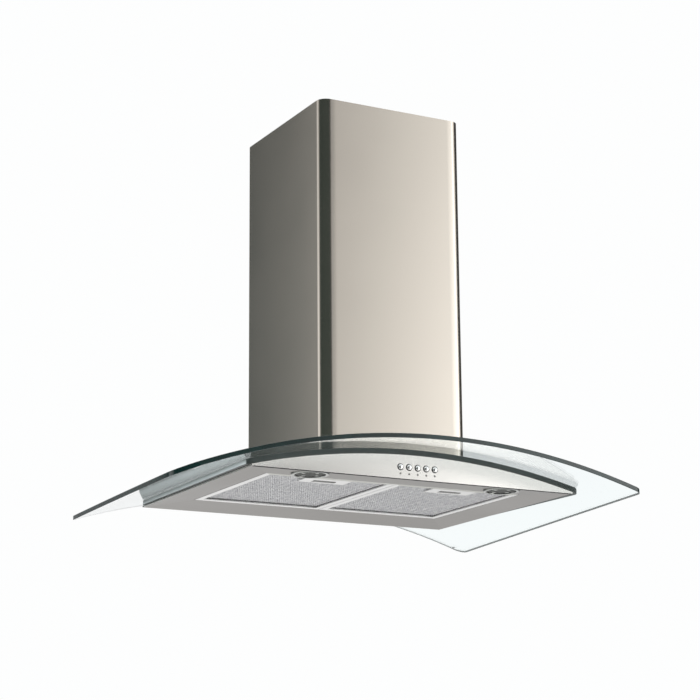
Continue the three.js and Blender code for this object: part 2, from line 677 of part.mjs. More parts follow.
const shelf = BASE_PLATE_Z + BASE_PLATE_THICK + GAP;
const can = rodZ(CAPACITOR.r, CAPACITOR.x, CAPACITOR.y, shelf, shelf + CAPACITOR.height, 28);
add('capacitor', can, finish.pale);
const boxBack = -SCROLL_HALF_Y - GAP;
const boxBody = block(
  TERMINAL_BOX.x0, TERMINAL_BOX.x1, boxBack - TERMINAL_BOX.depth, boxBack, TERMINAL_BOX.z0, TERMINAL_BOX.z1);
add('terminal_box', boxBody, finish.plastic);

export default group;
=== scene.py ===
import math

import bmesh
import bpy
from mathutils import Matrix, Vector


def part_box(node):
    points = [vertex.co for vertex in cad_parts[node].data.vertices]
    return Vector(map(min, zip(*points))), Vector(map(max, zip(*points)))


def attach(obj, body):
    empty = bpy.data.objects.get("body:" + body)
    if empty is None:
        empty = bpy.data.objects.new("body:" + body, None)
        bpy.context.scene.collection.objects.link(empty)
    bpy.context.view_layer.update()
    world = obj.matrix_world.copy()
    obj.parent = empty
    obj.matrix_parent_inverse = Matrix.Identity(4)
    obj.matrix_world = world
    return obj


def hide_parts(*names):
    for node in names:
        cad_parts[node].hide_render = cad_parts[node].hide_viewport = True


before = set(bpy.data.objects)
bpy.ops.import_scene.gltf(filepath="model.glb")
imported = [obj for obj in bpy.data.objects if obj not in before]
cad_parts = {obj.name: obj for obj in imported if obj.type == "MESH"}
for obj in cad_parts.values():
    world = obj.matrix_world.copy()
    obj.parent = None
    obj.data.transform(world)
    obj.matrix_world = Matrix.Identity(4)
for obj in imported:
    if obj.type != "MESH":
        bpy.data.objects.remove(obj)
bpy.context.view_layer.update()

scene = bpy.context.scene
scene.view_settings.view_transform = "Standard"

MM = 0.001

# ---------- places, read from the frame ----------

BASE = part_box("underside_pan")[0].z  # the underside plane
PANEL_LO, PANEL_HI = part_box("front_panel")
BODY_HALF_X = PANEL_HI.x
BODY_HALF_Y = -PANEL_LO.y
ARCH_RADIUS = 1350 * MM
ARCH_CENTRE_Z = PANEL_HI.z - ARCH_RADIUS
BED_THICK = 10 * MM
GAP = 0.3 * MM
GLASS_THICK = 8 * MM
GLASS_INNER_R = ARCH_RADIUS + BED_THICK + GAP
CANOPY_LO, CANOPY_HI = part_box("glass_canopy")
BED_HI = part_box("glass_bed_frame")[1]
COVER_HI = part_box("chimney_cover")[1]
SLEEVE_LO, SLEEVE_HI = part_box("upper_chimney")
SIDES = ("left", "right")


def arch_z(radius, x):
    """Height at x of an arc round the arch's centre."""
    return ARCH_CENTRE_Z + math.sqrt(radius ** 2 - x ** 2)


# ---------- camera ----------

CAMERA_AT = Vector((-1770.3, -3272.8, -629.2)) * MM + Vector((0, 0, BASE))
CAMERA_TURN = math.radians(28.32)  # from +Y towards +X
CAMERA_RISE = math.radians(13.88)
CAMERA_ROLL = math.radians(-0.48)
CAMERA_LENS = 103.47
CAMERA_SENSOR = 36
CAMERA_REACH = 200


def make_camera():
    data = bpy.data.cameras.new("camera")
    data.sensor_width = CAMERA_SENSOR
    data.lens = CAMERA_LENS
    data.clip_end = CAMERA_REACH
    cam = bpy.data.objects.new("camera", data)
    scene.collection.objects.link(cam)
    flat = math.cos(CAMERA_RISE)
    ahead = Vector((math.sin(CAMERA_TURN) * flat, math.cos(CAMERA_TURN) * flat, math.sin(CAMERA_RISE)))
    side = Vector((math.cos(CAMERA_TURN), -math.sin(CAMERA_TURN), 0))
    up = side.cross(ahead)
    right = side * math.cos(CAMERA_ROLL) + up * math.sin(CAMERA_ROLL)
    top = up * math.cos(CAMERA_ROLL) - side * math.sin(CAMERA_ROLL)
    turn = Matrix((right, top, -ahead)).transposed().to_4x4()
    cam.matrix_world = Matrix.Translation(CAMERA_AT) @ turn
    scene.camera = cam


# ---------- studio ----------

def ramp(nodes, stops, interpolation="EASE"):
    """A colour ramp through (position, value) stops, where a value is a grey or a colour."""
    node = nodes.new("ShaderNodeValToRGB")
    node.color_ramp.interpolation = interpolation
    elements = node.color_ramp.elements
    while len(elements) < len(stops):
        elements.new(0.5)
    for element, (position, value) in zip(elements, stops):
        element.position = position
        element.color = (*value, 1) if isinstance(value, tuple) else (value, value, value, 1)
    return node


DUSK = (0.052, 0.066, 0.060)
# brightness of the studio's wall by compass angle, in degrees from -X towards -Y
STUDIO = [
    (-180, 0.03), (-150, 0.10), (-136, 0.40), (-124, 0.76), (-112, 0.95), (-100, 0.60),
    (-76, (0.078, 0.087, 0.088)), (-68, (0.072, 0.082, 0.082)), (-61, (0.158, 0.176, 0.176)),
    (-56, 0.35), (-50, 0.95), (-32, 0.98), (-22, 0.52), (-14, DUSK), (0, DUSK), (60, DUSK), (98, DUSK),
    (106, 0.06), (114, 0.16), (118, 0.45), (121, 1.04), (124, 1.95), (130, 2.75), (138, 2.10), (150, 1.35),
    (160, 0.50), (165, 0.04), (180, 0.03),
]
# shares by height: 0 is straight down, 0.5 the horizon and 1 straight up
WALL_SHARE = [(0, 1), (0.62, 1), (0.69, 0.56), (1, 0.56)]
BELOW_SHARE = [(0, 1), (0.16, 1), (0.36, 0), (1, 0)]
ABOVE_SHARE = [(0, 0), (0.88, 0), (0.96, 1), (1, 1)]
BELOW_LIGHT = (0.85, 0.85, 0.84)
ABOVE_LIGHT = (1.6, 1.6, 1.6)
BACKDROP = (0.985, 0.99, 0.99)


def make_world():
    """A studio that lights and reflects by direction, while the camera sees a plain backdrop."""
    world = bpy.data.worlds.new("studio")
    scene.world = world
    world.use_nodes = True
    nt = world.node_tree
    nodes, link = nt.nodes, nt.links.new
    nodes.clear()
    coord = nodes.new("ShaderNodeTexCoord")
    axes = nodes.new("ShaderNodeSeparateXYZ")
    link(coord.outputs["Generated"], axes.inputs[0])

    def maths(op, a, b=None, clamp=False):
        node = nodes.new("ShaderNodeMath")
        node.operation = op
        node.use_clamp = clamp
        for socket, value in zip(node.inputs, (a, b)):
            if isinstance(value, (int, float)):
                socket.default_value = value
            elif value is not None:
                link(value, socket)
        return node.outputs[0]

    towards_near = maths("MULTIPLY", axes.outputs["Y"], -1)
    towards_left = maths("MULTIPLY", axes.outputs["X"], -1)
    compass = maths("ARCTAN2", towards_near, towards_left)
    share = maths("ADD", maths("DIVIDE", compass, 2 * math.pi), 0.5)
    ring = ramp(nodes, [((a + 180) / 360, v) for a, v in STUDIO], "LINEAR")
    link(share, ring.inputs[0])
    height = maths("ADD", maths("MULTIPLY", axes.outputs["Z"], 0.5), 0.5)
    fade = ramp(nodes, WALL_SHARE)
    link(height, fade.inputs[0])
    wall = nodes.new("ShaderNodeVectorMath")
    wall.operation = "SCALE"
    link(ring.outputs[0], wall.inputs[0])
    link(fade.outputs[0], wall.inputs["Scale"])
    below = ramp(nodes, BELOW_SHARE)
    above = ramp(nodes, ABOVE_SHARE)
    link(height, below.inputs[0])
    link(height, above.inputs[0])

    def blend(factor, a, b):
        node = nodes.new("ShaderNodeMix")
        node.data_type = "RGBA"
        link(factor, node.inputs[0])
        for socket, value in ((node.inputs[6], a), (node.inputs[7], b)):
            if isinstance(value, tuple):
                socket.default_value = (*value, 1)
            else:
                link(value, socket)
        return node.outputs[2]

    lit = blend(below.outputs[0], wall.outputs[0], BELOW_LIGHT)
    lit = blend(above.outputs[0], lit, ABOVE_LIGHT)
    rays = nodes.new("ShaderNodeLightPath")
    seen = maths("ADD", rays.outputs["Is Camera Ray"], rays.outputs["Is Transmission Ray"], clamp=True)
    shown = blend(seen, lit, BACKDROP)
    background = nodes.new("ShaderNodeBackground")
    link(shown, background.inputs[0])
    output = nodes.new("ShaderNodeOutputWorld")
    link(background.outputs[0], output.inputs[0])


FLOOR_REACH = 150
FLOOR_Z = -4.5
FLOOR_COLOUR = (0.9, 0.9, 0.89)
FLOOR_GLOW = 0.36


def make_floor():
    """A pale floor far below the hood, which reflections and glass leave out."""
    bm = bmesh.new()
    signs = ((-1, -1), (1, -1), (1, 1), (-1, 1))
    bm.faces.new([bm.verts.new((x * FLOOR_REACH, y * FLOOR_REACH, FLOOR_Z)) for x, y in signs])
    mesh = bpy.data.meshes.new("floor")
    bm.to_mesh(mesh)
    floor = bpy.data.objects.new("floor", mesh)
    scene.collection.objects.link(floor)
    mat, bsdf, _ = material("floor_paint", FLOOR_COLOUR, 0.6, Emission_Strength=FLOOR_GLOW)
    bsdf.inputs["Emission Color"].default_value = (1.0, 1.0, 1.0, 1.0)
    mesh.materials.append(mat)
    floor.visible_glossy = False
    floor.visible_transmission = False


# ---------- material helpers ----------

def material(name, colour, roughness, metallic=0.0, **sockets):
    """A new material, with extra sockets named by their labels with _ for each space."""
    mat = bpy.data.materials.new(name)
    mat.use_nodes = True
    nt = mat.node_tree
    bsdf = nt.nodes["Principled BSDF"]
    bsdf.inputs["Base Color"].default_value = (*colour, 1)
    bsdf.inputs["Roughness"].default_value = roughness
    bsdf.inputs["Metallic"].default_value = metallic
    for key, value in sockets.items():
        bsdf.inputs[key.replace("_", " ")].default_value = value
    return mat, bsdf, nt


def noise(nt, scale, detail=3.0, roughness=0.5):
    """Noise in object space, stretched by a scale per axis, in cycles per metre."""
    coord = nt.nodes.new("ShaderNodeTexCoord")
    mapping = nt.nodes.new("ShaderNodeMapping")
    mapping.inputs["Scale"].default_value = scale
    tex = nt.nodes.new("ShaderNodeTexNoise")
    tex.inputs["Scale"].default_value = 1
    tex.inputs["Detail"].default_value = detail
    tex.inputs["Roughness"].default_value = roughness
    nt.links.new(coord.outputs["Object"], mapping.inputs[0])
    nt.links.new(mapping.outputs[0], tex.inputs["Vector"])
    return tex.outputs["Fac"]


def spread(nt, value, low, high, start=0.3, end=0.7):
    """Maps start to end of a value onto low to high."""
    node = nt.nodes.new("ShaderNodeMapRange")
    node.inputs["From Min"].default_value = start
    node.inputs["From Max"].default_value = end
    node.inputs["To Min"].default_value = low
    node.inputs["To Max"].default_value = high
    nt.links.new(value, node.inputs["Value"])
    return node.outputs[0]


def tinted(nt, value, dark, light, start=0.3, end=0.7):
    """Maps start to end of a value onto two colours."""
    node = ramp(nt.nodes, [(start, dark), (end, light)], "LINEAR")
    nt.links.new(value, node.inputs[0])
    return node.outputs[0]


def bumped(nt, bsdf, value, strength, distance):
    bump = nt.nodes.new("ShaderNodeBump")
    bump.inputs["Strength"].default_value = strength
    bump.inputs["Distance"].default_value = distance
    nt.links.new(value, bump.inputs["Height"])
    nt.links.new(bump.outputs[0], bsdf.inputs["Normal"])


QUARTER_TURN = 0.25  # of a full turn
BRUSH_DEPTH = 0.03 * MM
CAST_DEPTH = 0.1 * MM
STRAND_DEPTH = 0.3 * MM


def shades(colour, contrast):
    """The colour made darker and lighter by the contrast."""
    dark = tuple(c * (1 - contrast) for c in colour)
    light = tuple(min(1, c * (1 + contrast)) for c in colour)
    return dark, light


def brushed(name, colour, roughness, grain, across, aniso=0.6, depth=0.12, contrast=0.05):
    """Brushed sheet. grain is the noise scale per axis: high across the brushing, low along it.
    across is the axis that the tangent circles, so that highlights spread across the brushing."""
    mat, bsdf, nt = material(
        name, colour, roughness, 1.0, Anisotropic=aniso, Anisotropic_Rotation=QUARTER_TURN)
    streaks = noise(nt, grain, 2.0, 0.6)
    cloud = noise(nt, (5, 5, 5), 2.0)
    colour_out = tinted(nt, streaks, *shades(colour, contrast), 0.25, 0.75)
    nt.links.new(colour_out, bsdf.inputs["Base Color"])
    total = nt.nodes.new("ShaderNodeMath")
    total.operation = "ADD"
    swing = 0.3 * depth
    nt.links.new(spread(nt, streaks, roughness - swing, roughness + swing), total.inputs[0])
    nt.links.new(spread(nt, cloud, -0.015, 0.015), total.inputs[1])
    nt.links.new(total.outputs[0], bsdf.inputs["Roughness"])
    tangent = nt.nodes.new("ShaderNodeTangent")
    tangent.direction_type = "RADIAL"
    tangent.axis = across
    nt.links.new(tangent.outputs[0], bsdf.inputs["Tangent"])
    bumped(nt, bsdf, streaks, depth, BRUSH_DEPTH)
    return mat


def cast(name, colour, roughness, metallic, grain, contrast=0.08, depth=0.15, **sockets):
    """Plain paint, plastic or plated metal with a fine grain."""
    mat, bsdf, nt = material(name, colour, roughness, metallic, **sockets)
    fine = noise(nt, (grain, grain, grain), 4.0)
    cloud = noise(nt, (14, 14, 14), 2.0)
    nt.links.new(tinted(nt, cloud, *shades(colour, contrast)), bsdf.inputs["Base Color"])
    nt.links.new(spread(nt, fine, roughness - 0.05, roughness + 0.05), bsdf.inputs["Roughness"])
    bumped(nt, bsdf, fine, depth, CAST_DEPTH)
    return mat


def graded(name, low, high, roughness, bottom, top):
    """Metal whose colour runs from low to high between two heights, a painted gradient of reflection and
    shade.
    """
    mat, bsdf, nt = material(name, low, roughness, 1.0)
    coord = nt.nodes.new("ShaderNodeTexCoord")
    axes = nt.nodes.new("ShaderNodeSeparateXYZ")
    nt.links.new(coord.outputs["Object"], axes.inputs[0])
    share = spread(nt, axes.outputs["Z"], 0, 1, bottom, top)
    nt.links.new(tinted(nt, share, low, high, 0, 1), bsdf.inputs["Base Color"])
    bumped(nt, bsdf, noise(nt, (400, 3, 400)), 0.05, 0.05 * MM)
    return mat


def speckled(name, dark, light, roughness):
    """Bare expanded metal: strands that catch the light one by one, drawn out along Y."""
    mat, bsdf, nt = material(name, light, roughness, 1.0)
    strands = noise(nt, (240, 70, 240), 3.0, 0.7)
    link = nt.links.new
    link(tinted(nt, strands, dark, light, 0.36, 0.64), bsdf.inputs["Base Color"])
    link(spread(nt, strands, roughness + 0.08, roughness - 0.08), bsdf.inputs["Roughness"])
    bumped(nt, bsdf, strands, 0.4, STRAND_DEPTH)
    return mat


def galvanised(name, dark, light):
    """Hot-dipped sheet with its flat crystals."""
    mat, bsdf, nt = material(name, light, 0.42, 1.0)
    coord = nt.nodes.new("ShaderNodeTexCoord")
    cells = nt.nodes.new("ShaderNodeTexVoronoi")
    cells.inputs["Scale"].default_value = 90
    nt.links.new(coord.outputs["Object"], cells.inputs["Vector"])
    grey = nt.nodes.new("ShaderNodeRGBToBW")
    nt.links.new(cells.outputs["Color"], grey.inputs[0])
    nt.links.new(tinted(nt, grey.outputs[0], dark, light, 0.1, 0.9), bsdf.inputs["Base Color"])
    nt.links.new(spread(nt, grey.outputs[0], 0.30, 0.52, 0, 1), bsdf.inputs["Roughness"])
    bumped(nt, bsdf, noise(nt, (900, 900, 900)), 0.08, CAST_DEPTH)
    return mat


def glass(name, colour, roughness=0.0, ior=1.5):
    return material(name, colour, roughness, 0.0, Transmission_Weight=1.0, IOR=ior)[0]


make_camera()
make_world()
make_floor()

COVER_STEEL = brushed("cover_steel", (0.81, 0.75, 0.665), 0.25, (3, 3, 1600), "Z", 0.5, 0.02, 0.010)
PANEL_STEEL = brushed("panel_steel", (0.895, 0.88, 0.84), 0.25, (3, 3, 1600), "Z", 0.5, 0.02, 0.010)
# painted reflection: the colour of the bed's end faces runs from pale steel at the bottom to dark at the top
BED_END_Z = arch_z(ARCH_RADIUS, BED_HI.x)
SIDE_STEEL_PAINTED_REFLECTION = graded(
    "side_steel_painted_reflection", (0.86, 0.92, 0.93), (0.20, 0.22, 0.215), 0.30, BED_END_Z, BED_END_Z + BED_THICK)
# painted light: a much paler copy of the pan's steel, for its faces turned to ±X and for the end strips
RIM_STEEL_PAINTED_LIGHT = brushed("rim_steel_painted_light", (0.93, 0.93, 0.90), 0.45, (7, 1800, 7), "Z", 0.3)
PAN_STEEL = brushed("pan_steel", (0.425, 0.41, 0.395), 0.42, (7, 1800, 7), "Z", 0.4)
BED_PAINT = cast("bed_paint", (0.045, 0.060, 0.056), 0.38, 0.0, 1500, 0.15, 0.2)
ZINC = galvanised("galvanised_sheet", (0.40, 0.42, 0.44), (0.60, 0.61, 0.62))
ALUMINIUM = brushed("satin_aluminium", (1.0, 0.99, 0.965), 0.34, (1600, 9, 900), "Z", 0.3)
NEAR_RIM_ALUMINIUM = brushed("near_rim_aluminium", (0.72, 0.72, 0.68), 0.40, (1600, 9, 900), "Z", 0.3)
MESH_ALUMINIUM = speckled("mesh_aluminium", (0.68, 0.68, 0.71), (1.0, 1.0, 1.0), 0.36)
CHROME = cast("chrome_plate", (0.80, 0.81, 0.82), 0.08, 1.0, 300, 0.03, 0.02)
BUTTON_CHROME = cast("button_chrome", (0.95, 0.95, 0.94), 0.16, 1.0, 300, 0.02, 0.02)
# painted shade: the lamp bezels and their clips are a darkened copy of the chrome
BEZEL_CHROME = cast("bezel_chrome", (0.34, 0.35, 0.33), 0.12, 1.0, 300, 0.05, 0.05)
# painted shade inside the lamp: the mirror bowl is nearly black
MIRROR_BOWL = cast("mirror_bowl", (0.07, 0.075, 0.065), 0.14, 1.0, 500, 0.05, 0.05)
CANOPY_GLASS = glass("canopy_glass", (0.945, 0.995, 1.0))
# painted shade inside the lamp: the lens is tinted grey
LENS_GLASS = glass("lens_glass", (0.34, 0.36, 0.32), 0.02, 1.05)
LATCH_CHROME = cast("latch_chrome", (0.12, 0.12, 0.115), 0.22, 1.0, 400, 0.05, 0.05)
EDGE_PALE = cast("glass_edge_pale", (0.16, 0.21, 0.205), 0.12, 0.0, 900, 0.2, 0.05)
# painted shade inside the lamp: the bulb is darkened
BULB_GLASS = cast("bulb_glass", (0.48, 0.48, 0.45), 0.22, 0.0, 600, 0.02, 0.02)
GLASS_EDGE = cast("glass_edge", (0.007, 0.030, 0.028), 0.14, 0.0, 900, 0.35, 0.05, Coat_Weight=0.4)
BLACK_PLASTIC = cast("black_plastic", (0.03, 0.03, 0.033), 0.45, 0.0, 1800, 0.1, 0.25)
MOTOR_PAINT = cast("motor_paint", (0.05, 0.055, 0.06), 0.4, 0.2, 1200, 0.12, 0.2)
WHITE_PLASTIC = cast("white_plastic", (0.62, 0.62, 0.60), 0.4, 0.0, 1200, 0.05, 0.1)
MARK_INK = cast("mark_ink", (0.32, 0.32, 0.30), 0.5, 0.0, 1500, 0.1, 0.1)


# ---------- mesh helpers ----------

WELD = 1e-7
CUT_TOLERANCE = 1e-6
SHEET_SHARP = 35  # degrees between faces, from which an edge is sharp
SLAB_SHARP = 12
LATHE_SHARP = 30
STRAND_SHARP = 60
FACETED = 1
FACES_X = 0.7  # least part of a normal along X for a face that counts as facing that way


def finish_mesh(bm, name, mats, sharp_deg=SHEET_SHARP):
    """Welds, smooths all but the sharp edges, and puts the mesh in the scene."""
    bmesh.ops.remove_doubles(bm, verts=bm.verts, dist=WELD)
    bmesh.ops.recalc_face_normals(bm, faces=bm.faces)
    limit = math.radians(sharp_deg)
    for face in bm.faces:
        face.smooth = True
    for edge in bm.edges:
        edge.smooth = len(edge.link_faces) == 2 and edge.calc_face_angle() < limit
    mesh = bpy.data.meshes.new(name)
    bm.to_mesh(mesh)
    bm.free()
    for mat in mats:
        mesh.materials.append(mat)
    obj = bpy.data.objects.new(name, mesh)
    scene.collection.objects.link(obj)
    return obj


def place(obj, body, stands_for=()):
    """Puts a piece on its body and the nodes that it replaces."""
    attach(obj, body)
    if stands_for:
        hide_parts(*stands_for)


def arc_points(centre, radius, start, sweep, steps):
    angles = [start + sweep * i / steps for i in range(steps + 1)]
    return [(centre[0] + radius * math.cos(a), centre[1] + radius * math.sin(a)) for a in angles]


def rounded_polygon(corners, steps=12):
    """Outline through corners given as (x, y, radius), counterclockwise."""
    points = []
    count = len(corners)
    for i, (x, y, r) in enumerate(corners):
        here = Vector((x, y))
        before = (Vector(corners[i - 1][:2]) - here).normalized()
        after = (Vector(corners[(i + 1) % count][:2]) - here).normalized()
        half = math.acos(before.dot(after)) / 2
        start = here + before * (r / math.tan(half))
        centre = here + (before + after).normalized() * (r / math.sin(half))
        first = math.atan2(start.y - centre.y, start.x - centre.x)
        points += arc_points(centre, r, first, math.pi - 2 * half, steps)
    return points


def rounded_box(half_x, half_y, r, steps=12):
    signs = ((-1, -1), (1, -1), (1, 1), (-1, 1))
    return rounded_polygon([(sx * half_x, sy * half_y, r) for sx, sy in signs], steps)


def arched_slab(name, outer, hole, inner_r, outer_r, mats, bevel, stations):
    """A plan outline with a hole, bent over the arch between two radii.
    The rims and their bevels take the last material. stations is the number of strips along X."""
    bm = bmesh.new()
    for outline in (outer, hole):
        verts = [bm.verts.new((x, y, 0)) for x, y in outline]
        for a, b in zip(verts, verts[1:] + verts[:1]):
            bm.edges.new((a, b))
    bmesh.ops.triangle_fill(bm, edges=bm.edges[:], use_beauty=True)
    first = min(x for x, _ in outer)
    last = max(x for x, _ in outer)
    for i in range(1, stations):
        x = first + (last - first) * i / stations
        geometry = bm.verts[:] + bm.edges[:] + bm.faces[:]
        bmesh.ops.bisect_plane(bm, geom=geometry, plane_co=(x, 0, 0), plane_no=(1, 0, 0), dist=CUT_TOLERANCE)
    flat = bm.faces[:]
    made = bmesh.ops.extrude_face_region(bm, geom=flat)["geom"]
    top = {v for v in made if isinstance(v, bmesh.types.BMVert)}
    for v in bm.verts:
        radius = outer_r if v in top else inner_r
        v.co.z = arch_z(radius, v.co.x)
    bmesh.ops.recalc_face_normals(bm, faces=bm.faces)
    last_mat = len(mats) - 1
    rims = [f for f in bm.faces if len({v in top for v in f.verts}) == 2]
    for face in rims:
        face.material_index = last_mat
    edges = [e for e in bm.edges if len(e.link_faces) == 2 and sum(f in rims for f in e.link_faces) == 1]
    bmesh.ops.bevel(
        bm, geom=edges, offset=bevel, segments=3, profile=0.5, affect="EDGES", material=last_mat)
    return finish_mesh(bm, name, mats, SLAB_SHARP)


def repaint(obj, mat, chosen):
    """Gives the chosen faces another material."""
    obj.data.materials.append(mat)
    for face in obj.data.polygons:
        if chosen(face):
            face.material_index = len(obj.data.materials) - 1


def in_mm(points):
    """A profile whose numbers are millimetres."""
    return [(r * MM, h * MM) for r, h in points]


def lathe(name, profile, mat, centre, steps, along="Z", sharp_deg=LATHE_SHARP):
    """Turns a profile of (radius, height) about Z, or about Y with height running towards +Y."""
    bm = bmesh.new()
    rings = []
    angles = [2 * math.pi * i / steps for i in range(steps)]
    for r, h in profile:
        if r == 0:
            rings.append([bm.verts.new((0, 0, h))])
        else:
            rings.append([bm.verts.new((r * math.cos(a), r * math.sin(a), h)) for a in angles])
    for a, b in zip(rings, rings[1:]):
        for i in range(steps):
            j = (i + 1) % steps
            corners = [a[i % len(a)], a[j % len(a)], b[j % len(b)], b[i % len(b)]]
            corners = list(dict.fromkeys(corners))
            if len(corners) > 2:
                bm.faces.new(corners)
    if along == "Y":
        bmesh.ops.rotate(bm, verts=bm.verts, matrix=Matrix.Rotation(-math.pi / 2, 3, "X"))
    bmesh.ops.translate(bm, verts=bm.verts, vec=centre)
    return finish_mesh(bm, name, [mat], sharp_deg)


# ---------- canopy and its bed ----------

# the sheet's corners in plan, each with its radius
CANOPY_CORNERS = [
    (-512 * MM, CANOPY_LO.y, 40 * MM), (409.5 * MM, CANOPY_LO.y, 12 * MM),
    (457 * MM, CANOPY_HI.y, 20 * MM), (-421 * MM, CANOPY_HI.y, 6 * MM),
]
CHIMNEY_CUT = rounded_box(140 * MM, 152 * MM, 5 * MM, 6)
GLASS_OUTER_R = GLASS_INNER_R + GLASS_THICK
GLASS_BEVEL = 0.8 * MM
GLASS_STATIONS = 96
canopy = arched_slab(
    "glass_sheet", rounded_polygon(CANOPY_CORNERS), CHIMNEY_CUT,
    GLASS_INNER_R, GLASS_OUTER_R, [CANOPY_GLASS, GLASS_EDGE], GLASS_BEVEL, GLASS_STATIONS)
# the far and right edges catch more light than the near one
EDGE_FACING = 0.5
repaint(
    canopy, EDGE_PALE,
    lambda face: face.material_index and max(face.normal.x, face.normal.y) > EDGE_FACING)
place(canopy, "hood", ["glass_canopy"])

BED_FAR_HALF_X = 329 * MM
BED_CORNER = 12 * MM
BED_RIM = 20 * MM
BED_BEVEL = 1.6 * MM
BED_STATIONS = 72
bed_plan = rounded_polygon([
    (-BED_HI.x, -BED_HI.y, BED_CORNER), (BED_HI.x, -BED_HI.y, BED_CORNER),
    (BED_FAR_HALF_X, BED_HI.y, BED_CORNER), (-BED_FAR_HALF_X, BED_HI.y, BED_CORNER),
])
bed = arched_slab(
    "glass_bed", bed_plan, rounded_box(BED_FAR_HALF_X - BED_RIM, BED_HI.y - BED_RIM, 6 * MM),
    ARCH_RADIUS + GAP, ARCH_RADIUS + BED_THICK, [BED_PAINT], BED_BEVEL, BED_STATIONS)
# the end faces take the steel with the painted reflection
repaint(bed, SIDE_STEEL_PAINTED_REFLECTION, lambda face: abs(face.normal.x) > FACES_X)
place(bed, "hood", ["glass_bed_frame"])


# ---------- chimney ----------

CHIMNEY_WALL = 1 * MM
COVER_CORNER = 20 * MM
SLEEVE_CORNER = 18.4 * MM
GLASS_TO_COVER = 0.5 * MM
CORNER_STEPS = 16
FACE_STEPS = 24


def chimney_tube(name, hi, corner, low, top):
    """Open tube around Z with its faces at hi. low gives the height of its lower rim at x."""
    bm = bmesh.new()
    rings = []
    for inset in (0, CHIMNEY_WALL):
        half_x, half_y, r = hi.x - inset, hi.y - inset, corner - inset
        outline = []
        for sx, sy, start in ((1, -1, -90), (1, 1, 0), (-1, 1, 90), (-1, -1, 180)):
            centre = (sx * (half_x - r), sy * (half_y - r))
            outline += arc_points(centre, r, math.radians(start), math.pi / 2, CORNER_STEPS)
            if start in (0, 180):
                step = 2 * (half_x - r) / FACE_STEPS
                outline += [(sx * (half_x - r - step * i), sy * half_y) for i in range(1, FACE_STEPS)]
        rings.append([(x, y, low(x)) for x, y in outline])
        rings.append([(x, y, top) for x, y in outline])
    rings[2], rings[3] = rings[3], rings[2]
    lines = [[bm.verts.new(p) for p in ring] for ring in rings]
    for a, b in zip(lines, lines[1:] + lines[:1]):
        for i in range(len(a)):
            j = (i + 1) % len(a)
            bm.faces.new((a[i], a[j], b[j], b[i]))
    return finish_mesh(bm, name, [COVER_STEEL])


cover = chimney_tube(
    "chimney_cover_sheet", COVER_HI, COVER_CORNER,
    lambda x: arch_z(GLASS_OUTER_R + GLASS_TO_COVER, x), COVER_HI.z)
place(cover, "hood", ["chimney_cover"])
sleeve = chimney_tube(
    "upper_chimney_sheet", SLEEVE_HI, SLEEVE_CORNER, lambda x: SLEEVE_LO.z, SLEEVE_HI.z)
place(sleeve, "ceiling", ["upper_chimney"])


# ---------- CAD nodes that stay ----------

EDGE_ROUNDING = 0.3 * MM
NODE_WELD = 0.01 * MM


def soften(obj):
    """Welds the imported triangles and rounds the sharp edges."""
    weld = obj.modifiers.new("weld", "WELD")
    weld.merge_threshold = NODE_WELD
    bevel = obj.modifiers.new("bevel", "BEVEL")
    bevel.width = EDGE_ROUNDING
    bevel.segments = 2
    bevel.limit_method = "ANGLE"
    bevel.angle_limit = math.radians(SHEET_SHARP)
    bevel.use_clamp_overlap = True


def dress(node, mat):
    """Gives a node that stays its material and rounded edges."""
    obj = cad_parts[node]
    obj.data.materials.clear()
    obj.data.materials.append(mat)
    soften(obj)


CORNERS = ("near_left", "near_right", "far_right", "far_left")
PLAIN = {
    "ceiling_plate": ZINC, "blower_base_plate": ZINC, "blower_housing": ZINC, "outlet_adapter": ZINC,
    "motor_bracket": ZINC, "glass_clamp_near": ZINC, "glass_clamp_far": ZINC,
    "front_panel": PANEL_STEEL, "rear_panel": PANEL_STEEL, "underside_pan": PAN_STEEL,
    "motor": MOTOR_PAINT, "motor_shaft": CHROME, "damper_pin": CHROME,
    "outlet_collar": BLACK_PLASTIC, "damper_flap_left": BLACK_PLASTIC, "damper_flap_right": BLACK_PLASTIC,
    "control_module": BLACK_PLASTIC, "lamp_transformer": BLACK_PLASTIC, "terminal_box": BLACK_PLASTIC,
    "impeller": WHITE_PLASTIC, "capacitor": WHITE_PLASTIC,
}
for corner in CORNERS:
    PLAIN[f"upper_upright_{corner}"] = ZINC
    PLAIN[f"lower_upright_{corner}"] = ZINC
for side in SIDES:
    PLAIN[f"frame_rail_{side}"] = ZINC
    PLAIN[f"filter_frame_{side}"] = ALUMINIUM
    PLAIN[f"filter_mesh_{side}"] = MESH_ALUMINIUM
    PLAIN[f"filter_latch_{side}"] = LATCH_CHROME
for node, mat in PLAIN.items():
    dress(node, mat)
# painted light: the pan's faces turned to ±X take a paler copy of its steel than its bottom
repaint(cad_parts["underside_pan"], RIM_STEEL_PAINTED_LIGHT, lambda face: abs(face.normal.x) > FACES_X)
# the filters' near rims take a darker, rougher copy of the aluminium
for side in SIDES:
    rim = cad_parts[f"filter_frame_{side}"]
    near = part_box(f"filter_mesh_{side}")[0].y + 0.5 * MM
    places = [rim.matrix_world @ v.co for v in rim.data.vertices]
    repaint(rim, NEAR_RIM_ALUMINIUM, lambda face: all(places[i].y < near for i in face.vertices))


# ---------- seals and closing strips ----------

